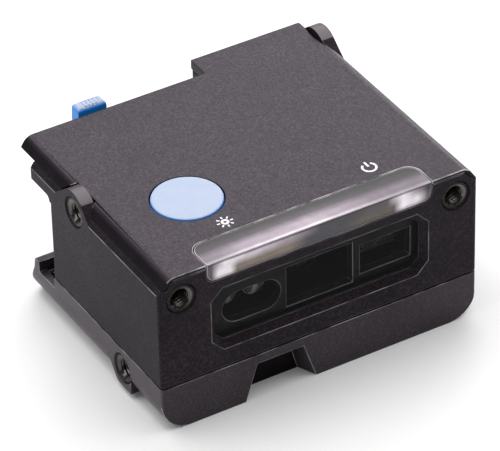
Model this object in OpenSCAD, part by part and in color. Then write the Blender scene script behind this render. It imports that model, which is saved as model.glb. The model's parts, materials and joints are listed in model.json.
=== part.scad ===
// Fixed-mount barcode reader: a moulded box with a scan window in its front face.
// Millimetres. Origin at the middle of the mounting plane, X to the right, Y to the rear, Z up.

/* [Overall] */
// Width across the side walls
body_w = 51; // [50:0.5:56]
// Depth from the front face to the rear of the right-hand block
body_d = 43.8; // [43:0.2:49]
// Height of the cover's flat top above the mounting plane
top_z = 25.75; // [25.2:0.05:29]
// Height of the base, up to the split line
base_h = 7.4; // [7:0.1:8.4]

/* [Housing] */
// Thickness of the side and rear walls
wall = 1.6; // [1.3:0.1:1.9]
// Thickness of the front wall
front_wall = 2; // [1.8:0.1:2.4]
// Rounding of the upright outer edges
edge_r = 0.6; // [0.4:0.1:1]
// Depth of the left side, from the front face to the cable bay
left_d = 30.6; // [30:0.1:33]
// Width of the right-hand block beside the cable bay
block_w = 20.4; // [19.5:0.1:21.4]
// Gap at the split line, filled by the base seal
split_gap = 0.3; // [0.2:0.05:0.5]
// Drop from the cover's top to the upper edge of the side walls
shoulder = 2.45; // [2.4:0.05:2.7]
// Height of the beam that carries the cover past the left wall
beam_h = 1.9; // [1.5:0.1:2.2]
// Reach of that beam behind the left wall
beam_l = 5.2; // [4:0.1:6]
// Fillet under the beam
beam_fillet = 0.8; // [0.5:0.1:1.6]
// Height of the leaning rim on top of the side walls
rim_h = 0.8; // [0.6:0.05:1]

/* [Top cover] */
// Inward lean of that rim and the cover's sides
skirt_lean = 34; // [28:1:38]
// Rounding between the cover's sides and its flat top
cover_r = 1.9; // [1.5:0.05:2]
// Thickness of the cover over the front wall and its bosses
cover_lip = 0.55; // [0.5:0.05:0.65]
// Seam between the cover and the housing
cover_gap = 0.1; // [0.06:0.02:0.2]
// Set-back of the cover's left rear edge from the rear
cover_step = 4.05; // [3.9:0.05:5]

/* [Light pipe] */
// Distance of the clear bar's ends from the side walls
pipe_side = 7.6; // [7.25:0.25:9.5]
// Depth of its top face
pipe_d = 4.9; // [4.5:0.1:5.2]
// Height of its front face
pipe_h = 3; // [2.8:0.05:3.1]
// Rounding of its rear corners
pipe_r = 2; // [1.5:0.1:2.4]
// Rounding of the lower corners of its front face
pipe_low_r = 1.3; // [0.8:0.1:2]
// Gap round the bar
pipe_gap = 0.1; // [0.05:0.01:0.2]

/* [Scan window] */
// Distance of the aperture's ends from the side walls
aperture_side = 8.05; // [7.8:0.05:8.3]
// Height of the aperture at the front face
aperture_h = 10.5; // [10.3:0.1:10.8]
// Drop from the cover's top to the middle of the aperture
aperture_drop = 9.9; // [9.8:0.05:10.2]
// Cut across the aperture's corners
corner_cut = 1.9; // [1.5:0.1:2.2]
// Width of the slanted rim of the aperture
bevel = 1.1; // [0.8:0.05:1.3]
// Thickness of the window
window_t = 0.8; // [0.6:0.05:0.9]
// Thickness of the gasket in front of the window
window_seal_t = 0.2; // [0.1:0.05:0.3]
// Overlap of the window behind the rim
window_lap = 0.7; // [0.5:0.05:0.9]

/* [Scan engine] */
// Set-back of the bezel and the chassis from the aperture's ends
engine_side = 0.4; // [0.1:0.05:0.6]
// Height of the bezel and the chassis
engine_h = 9.4; // [9:0.1:9.6]
// Thickness of the bezel
bezel_t = 1.4; // [1:0.1:2]
// Depth of the chassis
chassis_d = 10.5; // [10:0.1:12]
// Depth of the optic chambers
chamber_d = 7; // [6.8:0.1:7.4]
// Drop of the optic axes below the middle of the aperture
optics_drop = 0.5; // [0.3:0.05:0.6]
// Wall left of the illumination opening
lamp_end = 2.45; // [2.3:0.05:2.6]
// Width of the illumination opening
lamp_w = 9.3; // [9.1:0.1:9.5]
// Height of the illumination and aiming openings
side_opening_h = 4.9; // [4.6:0.1:5.4]
// Spacing of the two illumination lenses
lamp_pitch = 4.4; // [4:0.1:4.6]
// Radius of an illumination lens
lamp_r = 1.75; // [1.5:0.05:1.85]
// Bar between the illumination and camera openings
lamp_bar = 0.9; // [0.7:0.05:1.2]
// Height of the camera opening
camera_h = 6.7; // [6.4:0.1:7]
// Outer radius of the camera's lens barrel
barrel_r = 2.8; // [2.5:0.05:3]
// Bar between the camera and aiming openings
aimer_bar = 1.2; // [0.9:0.05:1.5]
// Wall right of the aiming opening
aimer_end = 1.4; // [1.2:0.05:1.6]
// Width of the aiming opening
aimer_w = 8.2; // [7.8:0.1:8.6]
// Radius of the aiming diode's can
diode_r = 1.6; // [1.2:0.05:1.8]

/* [Boards] */
// Thickness of the circuit boards
board_t = 0.8; // [0.6:0.05:0.9]
// Clearance from the main board to the housing's walls
board_gap = 1.4; // [1.1:0.1:1.8]
// Radius of the buzzer
buzzer_r = 5; // [4:0.1:5.4]
// Height of the buzzer
buzzer_h = 5.5; // [3:0.1:6]

/* [Trigger button] */
// Radius of the button
button_r = 5.1; // [4.5:0.05:5.4]
// Distance of the button's middle from the left side
button_x = 13.1; // [12.6:0.1:13.6]
// Distance of the button's middle from the front face
button_y = 14.7; // [14.4:0.1:15.5]
// Height of the button above the cover
button_rise = 0.15; // [0:0.05:0.5]
// Gap round the button
button_gap = 0.15; // [0.1:0.01:0.3]

/* [Cable release] */
// Distance of the lever's middle from the left side
lever_x_in = 12.6; // [12.4:0.1:12.8]
// Width of the lever and its tab
lever_w = 5; // [4.6:0.1:5.2]
// Thickness of the lever's arm
arm_t = 1.4; // [1.1:0.05:1.5]
// Depth of the finger tab
tab_d = 2.1; // [1.6:0.1:2.6]
// Height of the finger tab above the cover
tab_rise = 0.8; // [0.5:0.05:0.9]
// Gap between the cover's rear edge and the tab
tab_gap = 0.55; // [0.45:0.05:0.8]
// Radius of the pivot pin
pin_r = 0.75; // [0.6:0.05:0.8]
// Distance of the pivot behind the housing's rear wall
pivot_out = 1.9; // [1.85:0.05:2.3]

/* [Cable socket] */
// Outer width of the socket
socket_w = 11.6; // [10.5:0.1:11.8]
// Height of the socket below the main board
socket_h = 7.8; // [7.6:0.1:8.4]
// Length of the socket
socket_l = 10.5; // [9.5:0.1:11]
// Height of the socket's mouth
mouth_h = 4.8; // [4.6:0.1:5]
// Depth of the socket's mouth
mouth_d = 8; // [6:0.1:8.5]
// Number of contacts
contact_count = 8; // [4:1:8]

/* [Threaded inserts] */
// Outer radius of an insert
insert_r = 2.25; // [2.1:0.05:2.3]
// Radius of its tapped hole
insert_bore_r = 1.25; // [1:0.05:1.4]
// Length of the front and base inserts
insert_l = 4.5; // [3.5:0.1:5]
// Length of the inserts beside the cover
side_insert_l = 1.6; // [1.4:0.1:1.7]
// Depth of an insert's end below the surface
insert_sink = 0.2; // [0.1:0.05:0.25]
// Distance of a front insert from the side wall
front_insert_in = 3.6; // [3.5:0.05:4]
// Drop of a front insert below the cover's top
front_insert_drop = 4; // [3.9:0.05:4.3]
// Distance of the left insert beside the cover from the front face
left_boss_y = 23.4; // [22.5:0.1:24]
// Distance of the right boss's foot from the rear
boss_foot_in = 0.45; // [0.3:0.05:1.5]
// Outer radius of the bosses beside the cover
boss_r = 3.45; // [3.3:0.05:3.6]
// Inward length of the bosses beside the cover
boss_l = 2; // [1.95:0.05:2.3]
// Slope of a boss's steep flank
steep = 49; // [45:1:60]
// Slope of a boss's gentle flank
gentle = 38; // [35:1:44]
// Distance of a base insert from the front face
base_insert_y = 11.2; // [11:0.1:12]
// Drop of a base insert below the split line
base_insert_drop = 3.4; // [3.3:0.05:3.6]

/* [Base] */
// Rounding of the base's lower side edges
base_r = 4.5; // [3.5:0.1:5]
// Width of the front notch at the mounting plane
notch_w = 11.4; // [9:0.1:12]
// Width of the front notch at its top
notch_top_w = 7.4; // [6:0.1:8.5]
// Height of the front notch
notch_h = 5.9; // [4.5:0.1:6]
// Depth of the front notch
notch_d = 2.9; // [2:0.1:4]
// Distance of the notch's middle from the left side
notch_x_in = 18.8; // [18:0.1:20]
// Depth of the rear tray's rim, from the front face
tray_d = 36.2; // [35.6:0.1:37]
// Backward lean of the tray's rear wall
tray_lean = 3; // [2:0.1:3.4]
// Depth of the ledge inside the tray
tray_ledge = 2.1; // [1.8:0.1:3]

/* [Hidden] */
$fn = 48;

// Overlap that makes a cut pass its face
eps = 0.02;
// Steps in a quarter round
arc_steps = 8;
// Clearance of a piece seated in its pocket
seat = 0.1;
// Clearance of a pressed or screwed-in piece
press = 0.02;
// Radial clearance of the lever on its pin
running = 0.05;
// Rounding of the inner upright edges
inner_r = 0.4;

// Planes of the box
left_x = -body_w / 2;
right_x = body_w / 2;
front_y = -body_d / 2;
rear_y = body_d / 2;
step_x = right_x - block_w;
bay_y = front_y + left_d;
inner_x = right_x - wall;
front_in = front_y + front_wall;
housing_z = base_h + split_gap;
wall_top = top_z - shoulder;

// Cover and light pipe
seam_z = wall_top + rim_h;
cover_z = seam_z + cover_gap;
cover_rear_y = rear_y - cover_step;
crown_x = right_x - cover_r * cos(skirt_lean)
    - tan(skirt_lean) * (shoulder - cover_r * (1 - sin(skirt_lean)));
pipe_w = body_w - 2 * pipe_side;
pipe_z = top_z - pipe_h;

// Window and engine
aperture_w = body_w - 2 * aperture_side;
bevel_d = front_wall - window_t - window_seal_t;
opening_w = aperture_w - 2 * bevel;
opening_h = aperture_h - 2 * bevel;
cut_ratio = 2 - sqrt(2);
opening_cut = corner_cut - cut_ratio * bevel;
aperture_z = top_z - aperture_drop;
optics_z = aperture_z - optics_drop;
engine_w = aperture_w - 2 * engine_side;
engine_top = aperture_z + engine_h / 2;
engine_bottom = aperture_z - engine_h / 2;
chassis_y = front_in + bezel_t;
chamber_end_y = chassis_y + chamber_d;
engine_board_y = chassis_y + chassis_d;
lamp_x = (lamp_w - engine_w) / 2 + lamp_end;
camera_w = engine_w - lamp_end - lamp_w - lamp_bar - aimer_bar - aimer_w - aimer_end;
camera_x = lamp_x + (lamp_w + camera_w) / 2 + lamp_bar;
aimer_x = (engine_w - aimer_w) / 2 - aimer_end;
sensor_t = 1.4;
sensor_hw = 3.5;
sensor_hh = 3;
lamp_lens_l = 3.8;
lamp_led_h = 0.9;
lamp_led_w = 2.4;
barrel_wall = 0.7;
camera_lens_t = 1.2;
camera_lens_in = 0.4;
aimer_lens_t = 1;
aimer_dome = 0.4;
diode_out = 1.5;

// Bosses of the front inserts
boss_floor = 0.8;
front_boss_wall = 0.95;
front_boss_r = insert_r + front_boss_wall;
front_boss_h = 8;
boss_end_y = front_y + insert_l + insert_sink + boss_floor;
front_insert_x = right_x - front_insert_in;
front_insert_z = top_z - front_insert_drop;

// Boards and what they carry
board_z = engine_top + seat;
board_top = board_z + board_t;
board_hw = inner_x - board_gap;
tongue_in = 0.5;
led_h = pipe_z - board_top - seat;
led_w = 1.6;
led_in = 4;
led_back = 1.9;
led_x = pipe_w / 2 - led_in;
led_y = front_y + pipe_d - led_back;
chip_h = 1.1;
chip_gap = 2;
chip_back = 9;
chip_y = boss_end_y + chip_back;
memory_w = 8;
memory_d = 10;
memory_in = 4.5;
memory_x = board_hw - memory_in - memory_w / 2;
decoder_w = 11;
decoder_x = memory_x - memory_w / 2 - chip_gap - decoder_w / 2;
buzzer_in = 4.4;
buzzer_back = 4;
screw_r = 0.8;
screw_head_r = 1.7;
screw_head_h = 1.1;
board_screw_l = 3.4;
ledge_h = 4;
ledge_half = 1.9;
ledge_in = 3;
ledge_front = 4.5;
ledge_left_rear = 2.6;
ledge_right_rear = 3.4;
ledge_places = [[ledge_in - inner_x, boss_end_y + ledge_front],
    [inner_x - ledge_in, boss_end_y + ledge_front],
    [ledge_in - inner_x, bay_y - wall - ledge_left_rear],
    [inner_x - ledge_in, rear_y - wall - ledge_right_rear]];

// Button and switch
button_cx = left_x + button_x;
button_cy = front_y + button_y;
flange_top = cover_z - seat;
flange_t = 0.55;
flange_lip = 0.75;
flange_r = button_r + flange_lip;
switch_h = 0.7;
switch_w = 6;
plunger_r = 1;

// Cable release and socket
lever_x = left_x + lever_x_in;
pivot_y = bay_y + pivot_out;
pivot_drop = 1.7;
pivot_z = wall_top - pivot_drop;
hub_r = 1.5;
ear_t = 1.2;
ear_gap = 0.2;
arm_drop = 0.3;
arm_z = pivot_z - arm_drop;
tab_y = cover_rear_y + tab_gap;
tab_top = top_z + tab_rise;
tab_round = 0.7;
groove_r = 0.3;
groove_d = 0.12;
wire_r = 0.17;
coil_r = 1.25;
coil_turns = 3;
coil_w = 1.3;
spring_leg = 4;
socket_z = board_z - socket_h;
nose_drop = 1.5;
nose_top = board_z - nose_drop;
mouth_floor = 0.8;
mouth_z = socket_z + mouth_floor;
mouth_side = 1;
mouth_w = socket_w - 2 * mouth_side;

// Inserts, bosses and base
boss_drop = 0.2;
boss_z = wall_top - boss_drop;
upright = 80;
right_boss_y = body_d - boss_foot_in - boss_r / sin(upright);
base_insert_z = base_h - base_insert_drop;
base_boss_wall = 0.85;
base_boss_floor = 0.9;
base_boss_r = insert_r + base_boss_wall;
base_boss_l = insert_l + insert_sink + base_boss_floor;
bump_z = 0.85;
bump_flat = 3.3;
bump_run = 3.8;
bump_lead = 2.2;
bump_front = front_y + base_insert_y - bump_lead;
floor_t = wall;
base_screw_in = 5.3;
base_screw_x = right_x - base_screw_in;
base_post_r = 2.3;
base_post_h = 4.5;
base_head_r = 1.9;
base_head_h = 1.4;
base_head_z = 0.5;
base_tip_gap = 0.8;
base_screw_tip = housing_z + base_post_h - base_tip_gap;
post_bite = 0.7;
base_screw_places = [[-base_screw_x, front_in + base_post_r - post_bite],
    [base_screw_x, front_in + base_post_r - post_bite],
    [-base_screw_x, bay_y - wall - base_post_r + post_bite],
    [base_screw_x, rear_y - wall - base_post_r + post_bite]];
tray_drop = 0.1;
tray_side_drop = 1.8;
tray_top = base_h - tray_drop;
tray_side_top = base_h - tray_side_drop;
tray_wall = 1.2;
tray_y = front_y + tray_d;

// Points of a round stretch about c, from angle a0 to a1
function arc(c, r, a0, a1, n = arc_steps) =
    [for (i = [0:n]) let (a = a0 + (a1 - a0) * i / n) [c[0] + r * cos(a), c[1] + r * sin(a)]];

// Plan of the housing, drawn in by i at the sides and by f at the front, with corners of radius r
function plan(i, f, r) = concat(
    arc([left_x + i + r, front_y + f + r], r, 180, 270, 4),
    arc([right_x - i - r, front_y + f + r], r, 270, 360, 4),
    arc([right_x - i - r, rear_y - i - r], r, 0, 90, 4),
    arc([step_x + i + r, rear_y - i - r], r, 90, 180, 4),
    [[step_x + i, bay_y - i]],
    arc([left_x + i + r, bay_y - i - r], r, 90, 180, 4));

// Places a drawing of X and Z so that it reaches from y0 to y1
module along_y(y0, y1) {
    translate([0, y1, 0]) rotate([90, 0, 0]) linear_extrude(y1 - y0) children();
}

// Places a drawing of Y and Z so that it reaches from x0 to x1
module along_x(x0, x1) {
    translate([x0, 0, 0]) rotate([90, 0, 90]) linear_extrude(x1 - x0) children();
}

// Block from one corner to the other
module block(low, high) {
    translate(low) cube(high - low);
}

// Rounded rectangle about the middle
module round_rect(w, h, r) {
    polygon(concat(arc([w / 2 - r, h / 2 - r], r, 0, 90), arc([r - w / 2, h / 2 - r], r, 90, 180),
        arc([r - w / 2, r - h / 2], r, 180, 270), arc([w / 2 - r, r - h / 2], r, 270, 360)));
}

// Rectangle about the middle with cut corners
module cut_rect(w, h, c) {
    x = w / 2;
    z = h / 2;
    polygon([[x - c, z], [c - x, z], [-x, z - c], [-x, c - z],
        [c - x, -z], [x - c, -z], [x, c - z], [x, z - c]]);
}

// Half the width at height z, drawn in by i
function half_at(i, z) = right_x - i / cos(skirt_lean) - tan(skirt_lean) * max(z - wall_top, 0);

// Section of the housing with its cover above z0, drawn in by i: upright walls, leaning sides, flat top
module crown(i, z0) {
    r = cover_r - i;
    z = top_z - cover_r;
    w = half_at(i, z0);
    rim = z0 < wall_top ? [half_at(i, wall_top)] : [];
    polygon(concat([[-w, z0], [w, z0]], [for (x = rim) [x, wall_top]], arc([crown_x, z], r, skirt_lean, 90),
        arc([-crown_x, z], r, 90, 180 - skirt_lean), [for (x = rim) [-x, wall_top]]));
}

// Section of the base: flat bottom, rounded lower corners
module trough(hw, r, z0, z) {
    polygon(concat([[hw, z], [-hw, z]], arc([r - hw, z0 + r], r, 180, 270),
        arc([hw - r, z0 + r], r, 270, 360)));
}

// Side view of a boss beside the cover: round top and straight flanks of the given slopes, grown
module mound(y, front, rear, grow = 0) {
    r = boss_r + grow;
    polygon(concat([[y + r / sin(rear), boss_z]],
        arc([y, boss_z], r, 90 - rear, 90 + front, 2 * arc_steps), [[y - r / sin(front), boss_z]]));
}
module left_mound(grow = 0) {
    mound(front_y + left_boss_y, steep, gentle, grow);
}
module right_mound(grow = 0) {
    mound(front_y + right_boss_y, gentle, upright, grow);
}

// Threaded insert along Z with its open end at z = l
module insert(l) {
    chamfer = 0.3;
    knurl = 0.22;
    neck_r = insert_r - knurl;
    tip = l / 10;
    z0 = l * 2 / 5;
    z1 = l * 3 / 5;
    rotate_extrude()
        polygon([[insert_bore_r, 0], [neck_r, 0], [neck_r, tip], [insert_r, tip], [insert_r, z0],
            [neck_r, z0], [neck_r, z1], [insert_r, z1], [insert_r, l], [insert_bore_r + chamfer, l],
            [insert_bore_r, l - chamfer]]);
}

// Pocket for an insert along Z, with a flared mouth at z = 0
module insert_pocket(l) {
    depth = l + insert_sink;
    flare = 0.2;
    translate([0, 0, -depth]) cylinder(r = insert_r + press, h = depth + eps);
    translate([0, 0, -insert_sink])
        cylinder(r1 = insert_r + press, r2 = insert_r + flare, h = insert_sink + eps);
}

// Places of the inserts: children point out of the front, a side or a side of the base
module at_front(side) {
    translate([side * front_insert_x, front_y, front_insert_z]) rotate([90, 0, 0]) children();
}
module at_boss(side) {
    y = side < 0 ? left_boss_y : right_boss_y;
    translate([side * right_x, front_y + y, boss_z]) rotate([0, side * 90, 0]) children();
}
module at_base(side) {
    translate([side * right_x, front_y + base_insert_y, base_insert_z]) rotate([0, side * 90, 0]) children();
}

// Outline of the light pipe seen from above and from the front, grown by g
module pipe_plan(g) {
    w = pipe_w / 2 + g;
    y1 = front_y + pipe_d + g;
    polygon(concat([[-w, front_y - g], [w, front_y - g]], arc([w - pipe_r, y1 - pipe_r], pipe_r, 0, 90),
        arc([pipe_r - w, y1 - pipe_r], pipe_r, 90, 180)));
}
module pipe_front(g) {
    trough(pipe_w / 2 + g, pipe_low_r, pipe_z - g, top_z + g);
}

// Bar of the light pipe, or its slot when grown
module pipe_body(g) {
    intersection() {
        translate([0, 0, pipe_z - 1]) linear_extrude(pipe_h + 2) pipe_plan(g);
        along_y(front_y - g, front_y + pipe_d + g + eps) pipe_front(g);
    }
}

// Slanted rim, opening and window seat of the scan aperture
module aperture_cut() {
    seat_w = opening_w + 2 * window_lap;
    seat_h = opening_h + 2 * window_lap;
    translate([0, 0, aperture_z]) {
        hull() {
            along_y(front_y - eps, front_y) cut_rect(aperture_w, aperture_h, corner_cut);
            along_y(front_y + bevel_d, front_y + bevel_d + eps) cut_rect(opening_w, opening_h, opening_cut);
        }
        along_y(front_y + bevel_d, front_in + eps)
            cut_rect(seat_w, seat_h, opening_cut + cut_ratio * window_lap);
    }
}

// Outer form of the housing, before it is hollowed
module housing_form() {
    intersection() {
        along_y(front_y, rear_y) crown(0, housing_z);
        union() {
            translate([0, 0, housing_z]) linear_extrude(seam_z - housing_z) polygon(plan(0, 0, edge_r));
            along_x(left_x, left_x + wall) cover_beam();
        }
    }
    along_y(front_y, front_in) crown(cover_lip + cover_gap, wall_top);
}

// Side view of the beam behind the left wall, with the fillet under it
module cover_beam() {
    z0 = wall_top - beam_h;
    polygon(concat([[bay_y - edge_r - eps, seam_z], [bay_y + beam_l, seam_z], [bay_y + beam_l, z0]],
        arc([bay_y + beam_fillet, z0 - beam_fillet], beam_fillet, 90, 180),
        [[bay_y - edge_r - eps, z0 - beam_fillet]]));
}

// Bosses, posts and ledges inside the housing
module housing_bosses() {
    for (side = [-1, 1]) {
        intersection() {
            along_y(front_y + edge_r, boss_end_y) crown(cover_lip + cover_gap, housing_z);
            translate([side * (front_insert_x + front_boss_r), 0,
                front_insert_z - front_boss_r + front_boss_h / 2])
                cube([4 * front_boss_r, body_d, front_boss_h], center = true);
        }
        boss_y = front_y + (side < 0 ? left_boss_y : right_boss_y);
        along_x(side < 0 ? left_x : right_x - boss_l, side < 0 ? left_x + boss_l : right_x)
            translate([boss_y - boss_r, boss_z - boss_r]) square([2 * boss_r, boss_r + eps]);
    }
    along_x(left_x, left_x + boss_l) left_mound();
    along_x(right_x - boss_l, right_x) right_mound();
    for (p = base_screw_places)
        translate([p[0], p[1], housing_z]) base_post();
    for (p = ledge_places)
        translate([p[0] + sign(p[0]) * (ledge_in - ledge_half) / 2, p[1], board_z - ledge_h / 2])
            cube([ledge_in + ledge_half + 2 * eps, 2 * ledge_half, ledge_h], center = true);
}

// Post for a base screw
module base_post() {
    cylinder(r = base_post_r, h = base_post_h);
}

// Ears that carry the lever's pin
module lever_ears() {
    for (side = [-1, 1]) {
        inner = lever_x + side * (lever_w / 2 + ear_gap);
        outer = inner + side * ear_t;
        along_x(min(inner, outer), max(inner, outer))
            polygon(concat([[bay_y - eps, pivot_z + hub_r], [bay_y - eps, pivot_z - hub_r]],
                arc([pivot_y, pivot_z], hub_r, -90, 90, 2 * arc_steps)));
    }
}

// Bore along X through the lever's pivot
module pivot_bore(r, half) {
    translate([lever_x - half, pivot_y, pivot_z]) rotate([0, 90, 0]) cylinder(r = r, h = 2 * half);
}

module main_housing() {
    color([0.10, 0.10, 0.11])
    difference() {
        union() {
            difference() {
                housing_form();
                translate([0, 0, housing_z - 1])
                    linear_extrude(body_d) polygon(plan(wall, front_wall, inner_r));
            }
            housing_bosses();
            lever_ears();
        }
        aperture_cut();
        pipe_body(pipe_gap);
        for (side = [-1, 1]) {
            at_front(side) insert_pocket(insert_l);
            at_boss(side) insert_pocket(side_insert_l);
        }
        for (p = base_screw_places)
            translate([p[0], p[1], housing_z - eps]) cylinder(r = screw_r + press, h = base_post_h);
        for (p = ledge_places)
            translate([p[0], p[1], board_z - board_screw_l])
                cylinder(r = screw_r + press, h = board_screw_l + eps);
        block([lever_x - socket_w / 2 - seat, bay_y - wall - eps, socket_z - seat],
            [lever_x + socket_w / 2 + seat, bay_y + eps, nose_top + seat]);
        pivot_bore(pin_r + press, lever_w);
    }
}

// Plan of the cover, stepped at the rear
module cover_plan() {
    polygon([[left_x, front_y], [right_x, front_y], [right_x, rear_y], [step_x, rear_y],
        [step_x, cover_rear_y], [left_x, cover_rear_y]]);
}

module top_cover() {
    locator_y = (front_y + bay_y) / 2;
    locator_l = 4;
    locator_t = 0.9;
    color([0.13, 0.13, 0.14])
    difference() {
        union() {
            intersection() {
                along_y(front_y, rear_y) crown(0, cover_z);
                translate([0, 0, cover_z - 1]) linear_extrude(shoulder + 2) cover_plan();
            }
            for (side = [-1, 1])
                translate([side * (inner_x - seat - locator_t / 2), locator_y, cover_z])
                    cube([locator_t, locator_l, 2 * seat + shoulder / 2], center = true);
        }
        along_y(front_y - eps, boss_end_y + seat) crown(cover_lip, cover_z - 1);
        pipe_body(pipe_gap);
        translate([button_cx, button_cy, cover_z - 1]) cylinder(r = button_r + button_gap, h = shoulder + 2);
        along_x(left_x - 1, left_x + boss_l + 2 * seat) left_mound(2 * seat);
        along_x(right_x - boss_l - 2 * seat, right_x + 1) right_mound(2 * seat);
        block([right_x - boss_l - 2 * seat, front_y + right_boss_y, cover_z - 1],
            [right_x + 1, rear_y + 1, top_z + 1]);
    }
}

// Side view of a bump round a base insert: blunt front end, flat foot, curved rear end
module bump_side() {
    rise = base_r - bump_z;
    polygon(concat([[bump_front, base_h], [bump_front, bump_z]],
        [for (i = [0:arc_steps]) let (t = i / arc_steps)
            [bump_front + bump_flat + bump_run * t, bump_z + rise * (1 - cos(180 * t)) / 2]],
        [[bump_front + bump_flat + bump_run, base_h]]));
}

// Side view of the tray behind the housing, with its leaning rear wall
module tray_side() {
    rim_h = 1.6;
    rim_y = tray_y + tray_lean / 10;
    polygon([[bay_y - wall, 0], [tray_y + tray_lean, 0], [rim_y, tray_top - rim_h], [tray_y, tray_top],
        [bay_y - wall, tray_top]]);
}

// Outer form of the base
module base_form() {
    intersection() {
        along_y(front_y, rear_y) trough(right_x, base_r, 0, base_h);
        union() {
            linear_extrude(base_h) polygon(plan(0, 0, edge_r));
            along_x(left_x, step_x + eps) tray_side();
        }
    }
    for (side = [-1, 1])
        along_x(side < 0 ? left_x : right_x - base_r, side < 0 ? left_x + base_r : right_x) bump_side();
}

// Hollow of the base below the housing
module base_hollow() {
    intersection() {
        along_y(front_y, rear_y) trough(inner_x, base_r - wall, floor_t, base_h + 1);
        translate([0, 0, floor_t]) linear_extrude(base_h) polygon(plan(wall, wall, inner_r));
    }
}

// Bosses inside the base: round the notch, the inserts and the screws
module base_bosses() {
    notch_x = left_x + notch_x_in;
    root_z = floor_t / 2;
    collar = 0.4;
    along_y(front_y + edge_r, front_y + notch_d + wall)
        translate([notch_x - notch_w / 2 - wall, root_z]) square([notch_w + 2 * wall, base_h - root_z]);
    for (x = [-inner_x, inner_x - base_boss_l])
        along_x(x, x + base_boss_l)
            translate([front_y + base_insert_y - base_boss_r, root_z])
                square([2 * base_boss_r, base_h - root_z]);
    for (p = base_screw_places)
        translate([p[0], p[1], root_z]) cylinder(r = base_post_r + collar, h = base_h - root_z);
}

// Notch in the base's front, narrower at its top and its back
module notch_cut() {
    notch_x = left_x + notch_x_in;
    back = 0.77;
    outline = [[-notch_w / 2, -eps], [notch_w / 2, -eps], [notch_top_w / 2, notch_h],
        [-notch_top_w / 2, notch_h]];
    translate([notch_x, 0, 0])
        hull() {
            along_y(front_y - eps, front_y) polygon(outline);
            along_y(front_y + notch_d - eps, front_y + notch_d) scale([back, 1]) polygon(outline);
        }
}

// Stepped pocket of the rear tray, split by ribs
module tray_cut() {
    step = 0.7;
    rib = 1;
    bays = 3;
    x0 = left_x + tray_wall;
    x1 = step_x - tray_wall;
    pitch = (x1 - x0 - 2 * step + rib) / bays;
    y1 = tray_y - tray_wall;
    block([x0, bay_y, tray_top - tray_ledge], [x1, y1, base_h + 1]);
    for (i = [0:bays - 1])
        block([x0 + step + i * pitch, bay_y + step, floor_t],
            [x0 + step + (i + 1) * pitch - rib, y1 - step, base_h]);
    block([left_x - 1, bay_y + eps, tray_side_top], [x0 + eps, y1, base_h + 1]);
}

module base() {
    color([0.14, 0.14, 0.15])
    difference() {
        union() {
            difference() {
                base_form();
                base_hollow();
            }
            base_bosses();
        }
        notch_cut();
        tray_cut();
        for (side = [-1, 1])
            at_base(side) insert_pocket(insert_l);
        for (p = base_screw_places)
            translate([p[0], p[1], 0]) {
                translate([0, 0, -eps]) cylinder(r = base_head_r + seat, h = base_head_z + base_head_h + eps);
                cylinder(r = screw_r + 3 * seat, h = base_h + 1);
            }
    }
}

module base_seal() {
    inset = 0.5;
    strip = 0.7;
    hole_r = 0.3;
    color([0.08, 0.08, 0.08])
    translate([0, 0, base_h])
        linear_extrude(split_gap)
            difference() {
                polygon(plan(inset, inset, inner_r));
                polygon(plan(inset + strip, inset + strip, hole_r));
            }
}

module light_pipe() {
    color([0.85, 0.86, 0.88, 0.6]) pipe_body(0);
}

module front_window() {
    grow = 2 * (window_lap - seat);
    color([0.15, 0.16, 0.18, 0.4])
    translate([0, 0, aperture_z])
        along_y(front_in - window_t, front_in)
            cut_rect(opening_w + grow, opening_h + grow, opening_cut + cut_ratio * grow / 2);
}

module window_seal() {
    grow = 2 * (window_lap - seat);
    color([0.05, 0.05, 0.05])
    translate([0, 0, aperture_z])
        along_y(front_y + bevel_d, front_in - window_t)
            difference() {
                cut_rect(opening_w + grow, opening_h + grow, opening_cut + cut_ratio * grow / 2);
                cut_rect(opening_w + 2 * seat, opening_h + 2 * seat, opening_cut + cut_ratio * seat);
            }
}

// Openings for the illumination, the camera and the aiming light
module optic_openings(shrink = 0) {
    h = side_opening_h - 2 * shrink;
    translate([lamp_x, optics_z]) round_rect(lamp_w - 2 * shrink, h, h / 2 - eps);
    translate([camera_x, optics_z]) square([camera_w - 2 * shrink, camera_h - 2 * shrink], center = true);
    translate([aimer_x, optics_z]) square([aimer_w - 2 * shrink, h], center = true);
}

module optic_bezel() {
    color([0.05, 0.05, 0.06])
    along_y(front_in, chassis_y)
        difference() {
            translate([0, aperture_z]) square([engine_w, engine_h], center = true);
            optic_openings();
        }
}

module engine_chassis() {
    color([0.2, 0.2, 0.22])
    difference() {
        block([-engine_w / 2, chassis_y, engine_bottom], [engine_w / 2, engine_board_y, engine_top]);
        along_y(chassis_y - eps, chamber_end_y) optic_openings();
        translate([camera_x, chassis_y, optics_z]) rotate([-90, 0, 0])
            cylinder(r = barrel_r + press, h = chassis_d - sensor_t);
        translate([camera_x, engine_board_y - sensor_t / 2, optics_z])
            cube([2 * sensor_hw + 4 * seat, sensor_t + 2 * eps, 2 * sensor_hh + 4 * seat], center = true);
        translate([aimer_x, chassis_y, optics_z]) rotate([-90, 0, 0])
            cylinder(r = diode_r + press, h = chassis_d + eps);
    }
}

module illumination_board() {
    h = side_opening_h - 2 * seat;
    color([0.1, 0.3, 0.15])
    along_y(chamber_end_y - board_t, chamber_end_y)
        translate([lamp_x, optics_z]) round_rect(lamp_w - 2 * seat, h, h / 2 - eps);
}

module illumination_leds() {
    y1 = chamber_end_y - board_t;
    color([0.95, 0.9, 0.6])
    for (side = [-1, 1])
        translate([lamp_x + side * lamp_pitch / 2, y1 - lamp_led_h / 2, optics_z])
            cube([lamp_led_w, lamp_led_h, lamp_led_w], center = true);
}

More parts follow.
